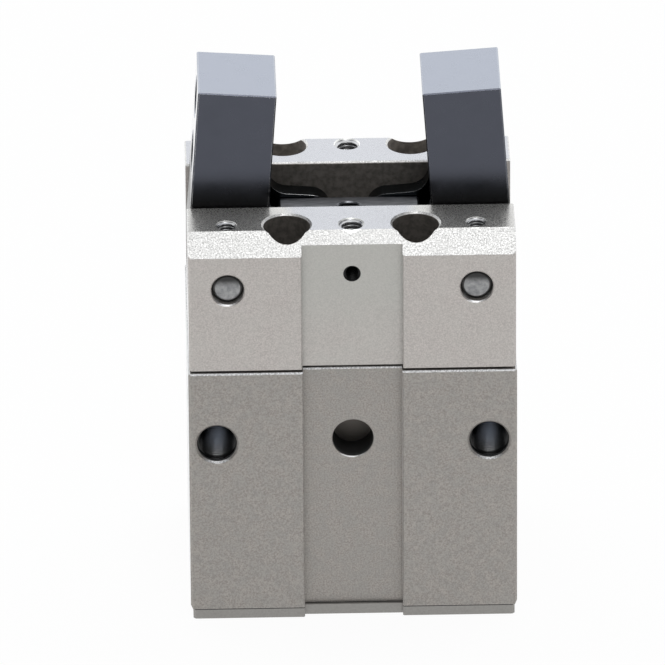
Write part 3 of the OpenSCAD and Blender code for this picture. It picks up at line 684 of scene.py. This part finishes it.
def mount_thread(mount_name, pitch, material, body, start=0.0):
    """The thread of a tapped hole that the record states as a mount, from a start inside it."""
    place, radius = bore_axis(mount_name)
    axis = np.array(MOUNTS[mount_name]["axis"], dtype=float)
    length = MOUNTS[mount_name]["dims"]["length_mm"] * MM - start
    mouth = np.array(place, dtype=float) + axis * (length - start) / 2
    thread(mount_name + "_thread", mouth, axis, radius, length, pitch, material, body)


def pattern_threads(mount_name, pitch, depth, rim, material):
    """The threads of a rectangular pattern of tapped holes, which start a rim below their face."""
    mount = MOUNTS[mount_name]
    axis = np.array(mount["axis"], dtype=float)
    for number, place in enumerate(pattern_places(mount), start=1):
        thread(f"{mount_name}_{number}", np.array(place) - axis * rim, axis,
               mount["dims"]["hole_r_mm"] * MM, depth, pitch, material, "housing")


def add_threads():
    """The threads of the ports, the breather, the rails, the mounting face and the fingers."""
    for name in ("close_port", "open_port"):
        mount_thread(name, G18_PITCH, PORT_THREAD, "housing", PORT_START)
    mount_thread("breather", M5_PITCH, BREATHER_THREAD_SHADED, "housing")
    for name in ("front_top_thread", "rear_top_thread"):
        mount_thread(name, M6_PITCH, BRIGHT_THREAD, "housing")
    pattern_threads("top_cover_threads", M5_PITCH, TOP_COVER_LENGTH, TOP_COVER_START,
                    BRIGHT_THREAD)
    pattern_threads("mounting_threads", M6_PITCH, MOUNTING_LENGTH, MOUNTING_START, DARK_THREAD)
    for side in ("left", "right"):
        for level in ("upper", "lower"):
            mount_thread(f"{side}_{level}_finger_thread", M6_PITCH, FINISHES["jaw"],
                         f"{side}_jaw_body")


# ---------------------------------------------------------------- stage, light and camera

def add_floor():
    """A wide pale floor. The camera and glossy rays see it nearly white, with a soft shadow."""
    mesh = bpy.data.meshes.new("floor")
    reach = FLOOR_REACH
    mesh.from_pydata([(-reach, -reach, 0), (reach, -reach, 0), (reach, reach, 0),
                      (-reach, reach, 0)], [], [(0, 1, 2, 3)])
    floor = bpy.data.objects.new("floor", mesh)
    bpy.context.scene.collection.objects.link(floor)
    material, g = new_material("floor_paper")
    mottle = g.noise(0.3, 2.0)
    paper = g.add("BsdfDiffuse", {"Color": g.shades(mottle, *FLOOR_SHADES)})
    glow = g.add("Emission", {"Color": grey(1.0), "Strength": 1.0})
    seen = g.add("LightPath", {}).outputs
    direct = g.math("MAXIMUM", seen["Is Camera Ray"], seen["Is Glossy Ray"])
    direct = g.math("MAXIMUM", direct, seen["Is Transmission Ray"])
    g.finish(g.add("MixShader", {0: g.product(direct, FLOOR_GLOW), 1: paper.outputs[0],
                                 2: glow.outputs[0]}))
    mesh.materials.append(material)


def add_world():
    """A soft room: bright behind and overhead, dim in front, with a faint glow by the camera."""
    world = bpy.data.worlds.new("soft_room")
    bpy.context.scene.world = world
    world.use_nodes = True
    g = Graph(world.node_tree)
    behind = g.ramp(g.toward(BEHIND), -0.25, 0.35, 0.0, SKY_BEHIND)
    overhead = g.ramp(g.toward(OVERHEAD), 0.86, 0.95, 0.0, SKY_OVERHEAD)
    by_camera = g.ramp(g.toward(BY_CAMERA), 0.93, 0.99, 0.0, SKY_BY_CAMERA)
    level = g.total(SKY_FRONT, g.math("MAXIMUM", behind, overhead), by_camera)
    room = g.add("Background", {"Color": grey(1.0, SKY_TINT), "Strength": level})
    white = g.add("Background", {"Color": grey(1.0), "Strength": 1.0})
    camera_ray = g.add("LightPath", {}).outputs["Is Camera Ray"]
    g.finish(g.add("MixShader", {0: camera_ray, 1: room.outputs[0], 2: white.outputs[0]}))


def add_softbox():
    """A rectangular lamp whose surface has a stated brightness, turned to the object."""
    lamp = bpy.data.lights.new("key", "AREA")
    lamp.shape = "RECTANGLE"
    lamp.size, lamp.size_y = LAMP_SIZE
    lamp.energy = LAMP_GLOW * math.pi * LAMP_SIZE[0] * LAMP_SIZE[1]
    holder = bpy.data.objects.new("key", lamp)
    holder.location = LAMP_PLACE
    aim = Vector(LAMP_AIM) - Vector(LAMP_PLACE)
    holder.rotation_euler = aim.to_track_quat("-Z", "Y").to_euler()
    bpy.context.scene.collection.objects.link(holder)


def add_camera():
    """A camera far in front, looking down through a long lens, turned a little about its line."""
    cos_p, sin_p = math.cos(VIEW_PITCH), math.sin(VIEW_PITCH)
    ahead = Vector((math.sin(VIEW_YAW) * cos_p, math.cos(VIEW_YAW) * cos_p, -sin_p))
    right = Vector((math.cos(VIEW_YAW), -math.sin(VIEW_YAW), 0))
    up = right.cross(ahead)
    cos_r, sin_r = math.cos(VIEW_ROLL), math.sin(VIEW_ROLL)
    right, up = right * cos_r - up * sin_r, up * cos_r + right * sin_r
    camera = bpy.data.cameras.new("camera")
    camera.sensor_width = SENSOR
    camera.lens = LENS
    camera.clip_end = VIEW_CLIP
    holder = bpy.data.objects.new("camera", camera)
    turn = Matrix((right, up, -ahead)).transposed()
    holder.matrix_world = Matrix.Translation(VIEW_TARGET - ahead * VIEW_DISTANCE) @ turn.to_4x4()
    bpy.context.scene.collection.objects.link(holder)
    bpy.context.scene.camera = holder


bpy.context.scene.view_settings.view_transform = "Standard"
add_camera()
add_world()
add_floor()
add_softbox()
dress_nodes()
add_threads()
